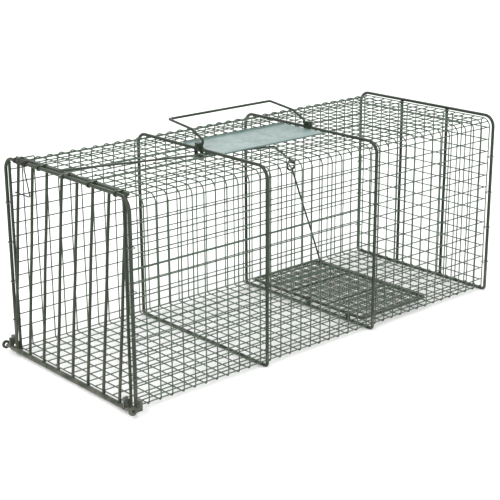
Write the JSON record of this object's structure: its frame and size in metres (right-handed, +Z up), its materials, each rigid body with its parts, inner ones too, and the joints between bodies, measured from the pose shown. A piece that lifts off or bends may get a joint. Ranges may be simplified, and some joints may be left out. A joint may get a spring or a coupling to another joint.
{
  "type": "live catch trap",
  "caption": "Welded-mesh cage trap with a top-hung barred door, slide bolts, see-saw trigger rod, trip pan and folding carry handle.",
  "frame": {"origin": "middle of the trap's bounding box in plan, at ground level", "axes": "+Y from the door to the closed end, +Z up, +X to the right seen from the door"},
  "size_m": [0.405, 0.9559, 0.4194],
  "materials": {
    "enamel_green": "dark forest-green baked enamel on steel rod, satin",
    "mesh_green": "thin green enamel over welded steel mesh, satin",
    "guard_grey_green": "grey-green sprayed sheet steel, satin",
    "plated_steel": "zinc-plated steel, dulled",
    "spring_steel": "oil-darkened spring wire"
  },
  "bodies": {
    "cage": {"front_hoop": "enamel_green", "second_hoop": "enamel_green", "third_hoop": "enamel_green", "rear_hoop": "enamel_green", "rear_braces": "enamel_green", "left_mesh": "mesh_green", "right_mesh": "mesh_green", "roof_mesh": "mesh_green", "floor_mesh": "mesh_green", "rear_mesh": "mesh_green", "upper_left_corner_mesh": "mesh_green", "upper_right_corner_mesh": "mesh_green", "lower_left_corner_mesh": "mesh_green", "lower_right_corner_mesh": "mesh_green", "mesh_clips": "plated_steel", "door_side_stops": "enamel_green", "door_rests": "enamel_green", "bolt_keepers": "enamel_green", "door_spring_coil": "spring_steel", "front_handle_lug": "enamel_green", "rear_handle_lug": "enamel_green", "handle_guard_plate": "guard_grey_green", "trigger_hanger": "enamel_green", "trigger_pivot_pin": "plated_steel", "pan_hinge_clips": "enamel_green"},
    "door": {"door_top_rod": "enamel_green", "door_bars": "enamel_green", "door_foot_tube": "enamel_green", "door_hinge_clips": "enamel_green", "door_catch": "plated_steel", "door_spring_leg": "spring_steel"},
    "left_bolt": {"left_slide_bolt": "plated_steel"},
    "right_bolt": {"right_slide_bolt": "plated_steel"},
    "carry_handle": {"handle": "enamel_green"},
    "trigger": {"trigger_sleeve": "plated_steel", "trigger_rod": "enamel_green"},
    "trip_pan": {"pan_frame": "enamel_green", "pan_crossbars": "enamel_green", "pan_mesh": "mesh_green"},
    "pan_pull": {"pan_link": "enamel_green"}
  },
  "joints": [
    {"name": "door_hinge", "type": "hinge", "parent": "cage", "child": "door", "pos_m": [0, -0.45396, 0.37783], "axis": [-1, 0, 0], "range_deg": [0, 100]},
    {"name": "left_bolt_slide", "type": "slide", "parent": "door", "child": "left_bolt", "axis": [-1, 0, 0], "range_m": [0, 0.012]},
    {"name": "right_bolt_slide", "type": "slide", "parent": "door", "child": "right_bolt", "axis": [1, 0, 0], "range_m": [0, 0.012]},
    {"name": "handle_swing", "type": "hinge", "parent": "cage", "child": "carry_handle", "pos_m": [0, -0.01581, 0.38482], "axis": [0, 1, 0], "range_deg": [0, 125]},
    {"name": "pan_hinge", "type": "hinge", "parent": "cage", "child": "trip_pan", "pos_m": [0, 0.12389, 0.017], "axis": [1, 0, 0], "range_deg": [0, 1]},
    {"name": "trigger_rock", "type": "hinge", "parent": "cage", "child": "trigger", "pos_m": [0, -0.15551, 0.361], "axis": [1, 0, 0], "range_deg": [0, 0.77646]},
    {"name": "link_swing", "type": "hinge", "parent": "trip_pan", "child": "pan_pull", "pos_m": [0, 0.30989, 0.017], "axis": [1, 0, 0], "range_deg": [-1, 0]}
  ],
  "couplings": [
    {"joint": "trigger_rock", "follows": "pan_hinge", "ratio": 0.77646},
    {"joint": "link_swing", "follows": "pan_hinge", "ratio": -1}
  ]
}
